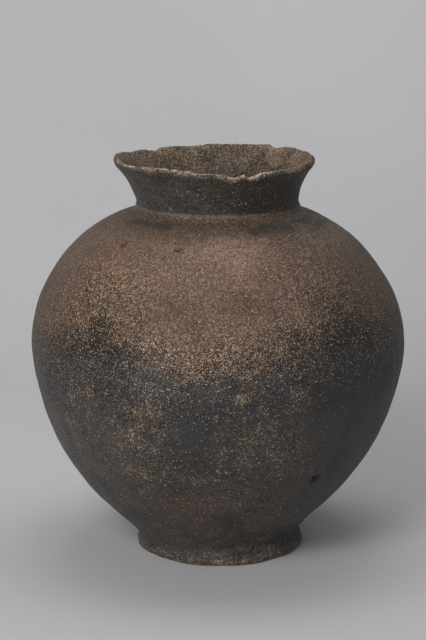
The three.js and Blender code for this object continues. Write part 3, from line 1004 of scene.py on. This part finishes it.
def sanded(finish, colour, masks, clusters):
    """Scatters burnt, sandy and pale grains over the clay, fewer where it is calm and smooth."""
    spread = 0.75 + masks.speckled * 0.4 + masks.left * 0.4 - masks.calm * 0.5
    colour = toned(finish, colour, spread)
    burnt = finish.specks(BURNT_GRAIN, masks.left * 0.34 + masks.right * 0.08)
    colour = finish.mixed(colour, BURNT, burnt * 0.9)
    plenty = 0.02 + masks.turning * 0.02 + masks.left * masks.flame * 0.24 + masks.wisps * 0.03
    plenty = plenty + clusters * 0.15 + masks.flame * 0.02
    busy = 1 - masks.calm * 0.6
    sand = finish.specks(SAND_GRAIN, plenty * busy)
    sand = sand.over(finish.straws(STRAW) * (clusters + masks.wisps * 0.2))
    sand_tone = finish.mixed(SAND_DULL, SAND_BRIGHT, finish.clouds(2.5, 2).eased(0.4, 0.6))
    colour = finish.mixed(colour, sand_tone, sand * (1 - masks.gouge))
    pale = finish.specks(PALE_GRAIN, (0.012 + clusters * 0.04 + masks.speckled * 0.02) * busy)
    return finish.mixed(colour, PALE, pale.over(finish.strokes(SCRATCHES) * 0.5) * 0.8)


# %% Body clay


def body_clay():
    finish = Finish("brown_fired_clay")
    ground = smoked_ground(finish)
    masks = BodyMasks(finish)
    share = brown_share(finish, masks)
    brown = brown_skin(finish, masks)
    clusters = (finish.clouds(14, 5, 0.68).eased(0.47, 0.6) * masks.wisps).over(finish.patches(SANDY_SPOTS))
    colour = finish.mixed(dark_clay(finish, ground, masks, clusters), brown, share)
    colour = smeared_and_pit_shaded(finish, colour, masks)
    colour = sanded(finish, colour, masks, clusters)
    relief = sandy_relief(finish, 0.4 + masks.speckled * 0.5)
    return finish.clay(colour, 0.62 + masks.flame * 0.2, relief, 0.8)


dressed(body, body_clay())

# %% [markdown]
# ## Neck clay
# The neck stayed in the smoke and was rubbed while it dried, so it is nearly black and a little smoother; a
# painted sheen makes its left side grey, and it is black towards the right. The bore was never rubbed and
# shows the sandy clay. The cut end of the lip is stained like the neck, but brown and crumbled where it was
# broken later, and at the front its sharp inner crest carries a painted highlight of pale grains. At its
# foot the shoulder's brown skin comes up to the low ridge of luting clay, whose top carries a pinkish
# painted highlight.

# %% Neck, bore and lip
NECK_BLACK = srgb(36, 33, 31)
# Grey of the bore's back patch, and the painted sheen on the neck's left side.
NECK_GREY_AND_SHEEN = srgb(62, 60, 58)
BORE_DARK = srgb(50, 43, 37)
BORE_SANDY = srgb(118, 101, 84)
BREAK = srgb(122, 102, 80)
GRIT_BROWN = srgb(86, 74, 62)
# Pinkish painted highlight for the top of the luting ridge.
PINK_RIDGE_HIGHLIGHT = srgb(116, 99, 91)
NECK_SAND = srgb(128, 120, 108)
GREY_BORE = (((4, 60, 296), 30, 1, 0.6),)
CRUMBLED_PLACES = (((-52, -61, 315), 9, SOFT, 1), ((-27, -75, 314), 8, SOFT, 1),
                   ((7, -79, 313), 10, SOFT, 1), ((64, -50, 315), 14, SOFT, 1))
# The side towards the light, where the lip's crest gets its painted highlight.
CREST_LIGHT_SIDE = (-0.3, -0.95, 0)
RIDGE_HEIGHT = NECK_JOINT / MM + 3.6
SKIN_TOP = NECK_JOINT / MM + 4.6
SKIN_FULL = NECK_JOINT / MM + 3


def neck_skin(finish):
    """Black smoked clay with grey streaks on its left, where a painted sheen lightens it, and some brown
    grit towards the lip.
    """
    streaks = finish.clouds(7, 4, 0.6, (0.4, 0.4, 2.4)).eased(0.35, 0.7)
    # Painted sheen and shade: the neck is grey on its left and black towards the right, where less light
    # falls.
    colour = finish.mixed(NECK_GREY_AND_SHEEN, NECK_BLACK, streaks.over(finish.across.eased(-40, 30)))
    upper = finish.height.eased(282, 306) * 0.5 + (finish.clouds(20, 3) - 0.5) * 0.8
    return finish.mixed(colour, GRIT_BROWN, gritty(finish, 0.04 + upper * 0.45))


def bore_skin(finish):
    """Sandy clay that was never rubbed, with a grey patch at the back."""
    patchy = finish.clouds(18, 4).eased(0.34, 0.66) * 0.4 + 0.3
    bore = finish.mixed(BORE_DARK, BORE_SANDY, gritty(finish, patchy, 0.75))
    return finish.mixed(bore, NECK_GREY_AND_SHEEN, finish.patches(GREY_BORE))


def crumbled_rim(finish):
    """How crumbled the rim is: most near its top, in the patches and where a chip broke out."""
    patches = finish.patches(CRUMBLED_PLACES).over(finish.kept("broken"))
    return (finish.kept("rim") + finish.clouds(5, 4, 0.65) * 1.2 + patches * 0.4).eased(1.2, 1.9)


# %% Neck clay


def neck_clay():
    finish = Finish("black_smoked_clay")
    colour = neck_skin(finish)
    outwards = finish.vector("NORMALIZE", finish.vector("MULTIPLY", finish.place, (1, 1, 0)))
    normal = finish.node("ShaderNodeNewGeometry", {}, {}, "Normal")
    inside = finish.vector("DOT_PRODUCT", normal, outwards, output="Value").eased(-0.1, -0.4)
    colour = finish.mixed(colour, bore_skin(finish), inside)
    crumbled = crumbled_rim(finish)
    colour = finish.mixed(colour, BREAK, gritty(finish, crumbled * 0.62))

    shoulder = (finish.height + finish.ragged * 4).eased(SKIN_TOP, SKIN_FULL) * (1 - inside)
    colour = finish.mixed(colour, finish.mixed(BURNT, OLIVE, gritty(finish, 0.62)), shoulder)
    ridge_highlight_breaks = finish.clouds(9, 4, 0.6).eased(0.36, 0.6) * finish.across.eased(60, 10)
    colour = toned(finish, colour, 0.7 + inside * 0.2)
    # Painted highlight: a broken pinkish line along the top of the luting ridge, except on the right, where
    # the ridge catches the light.
    edge = finish.height - RIDGE_HEIGHT
    ridge = edge.math("ABSOLUTE", edge).eased(2, 0.3)
    colour = finish.mixed(colour, PINK_RIDGE_HIGHLIGHT, ridge * (1 - inside) * ridge_highlight_breaks * 0.6)

    # Painted highlight: broken pale grains along the front of the lip's inner crest, where its sharp edge
    # catches the light; the other pale specks are real grains.
    front = finish.vector("DOT_PRODUCT", outwards, CREST_LIGHT_SIDE, output="Value").eased(0.3, 0.8)
    rubbed = (finish.clouds(1.3, 2, 0.7) + finish.clouds(7, 3) * 0.9).eased(0.9, 1.06)
    sand = finish.specks(SAND_GRAIN, 0.045 + (inside * 0.05).over(crumbled * 0.12))
    sand_tone = finish.mixed(NECK_SAND, TAN, inside.over(crumbled))
    colour = finish.mixed(colour, sand_tone, sand * (0.6 + inside * 0.2))
    pale = finish.specks(PALE_GRAIN, 0.008 + crumbled * 0.03)
    colour = finish.mixed(colour, PALE, pale.over(finish.kept("crest") * rubbed * front) * 0.85)
    relief = sandy_relief(finish, 0.3 + inside * 0.4)
    return finish.clay(colour, 0.6 + inside * 0.24, relief, 0.7)


dressed(collar, neck_clay())

# %% [markdown]
# ## Foot clay
# The foot sat in the embers and has been set down and dragged ever since: dark above, where it passes into
# the wall, and tan along the lower edge, where the wear has opened the clay into crumbs, straw marks and
# pale specks.

# %% Foot clay
WORN_BROWN = srgb(100, 84, 68)
SMEARED_GREY = srgb(88, 80, 72)
FOOT_SAND = srgb(146, 124, 98)
FOOT_STRAW = 4


def foot_clay():
    finish = Finish("worn_foot_clay")
    colour = smoked_ground(finish)
    edge = (finish.height + finish.ragged * 14).eased(11, 1)
    worn = finish.mixed(WORN_BROWN, TAN, finish.clouds(3, 3).eased(0.42, 0.62))
    crumbs = edge * finish.clouds(7, 4, 0.65).eased(0.42, 0.58)
    colour = finish.mixed(colour, worn, gritty(finish, edge * 0.15 + crumbs * 0.45))
    smears = finish.clouds(6, 4, 0.6, (0.25, 0.25, 1.4)).eased(0.5, 0.64)
    colour = finish.mixed(colour, SMEARED_GREY, smears * 0.4)
    colour = toned(finish, colour, 0.75 + edge * 0.2)
    sand = finish.specks(PALE_GRAIN, 0.04 + crumbs * 0.2).over(finish.straws(FOOT_STRAW) * crumbs)
    colour = finish.mixed(colour, FOOT_SAND, sand)
    pale = finish.specks(PALE_GRAIN, 0.01 + crumbs * 0.05)
    colour = finish.mixed(colour, PALE, pale * 0.8)
    relief = sandy_relief(finish, 0.3 + edge * 0.5)
    return finish.clay(colour, 0.76, relief, 0.8)


dressed(foot, foot_clay())

# %% [markdown]
# ## Paper
# The sweep is matt paper, a plain pale grey with a faint, broad unevenness.

# %% Paper finish
PAPER_GREY = srgb(197, 197, 198)
PAPER_LIGHT = srgb(201, 201, 203)
PAPER_ROUGHNESS = 0.9
PAPER_SPECULAR = 0.1


def paper():
    finish = Finish("grey_paper")
    tone = finish.clouds(700, 2).eased(0.4, 0.6)
    finish.feed(finish.shader.inputs["Base Color"], finish.mixed(PAPER_GREY, PAPER_LIGHT, tone))
    finish.shader.inputs["Roughness"].default_value = PAPER_ROUGHNESS
    finish.shader.inputs["Specular IOR Level"].default_value = PAPER_SPECULAR
    return finish.material


dressed(sweep, paper())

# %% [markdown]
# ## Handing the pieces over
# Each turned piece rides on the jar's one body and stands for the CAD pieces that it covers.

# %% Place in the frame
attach(body, "root")
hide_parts("base_slab", "lower_wall", "shoulder_wall", "belly_inner_roll", "base_inner_roll")
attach(collar, "root")
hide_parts("neck_collar", "neck_luting_roll", "neck_inner_roll")
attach(foot, "root")
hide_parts("foot_ring", "foot_luting_roll")
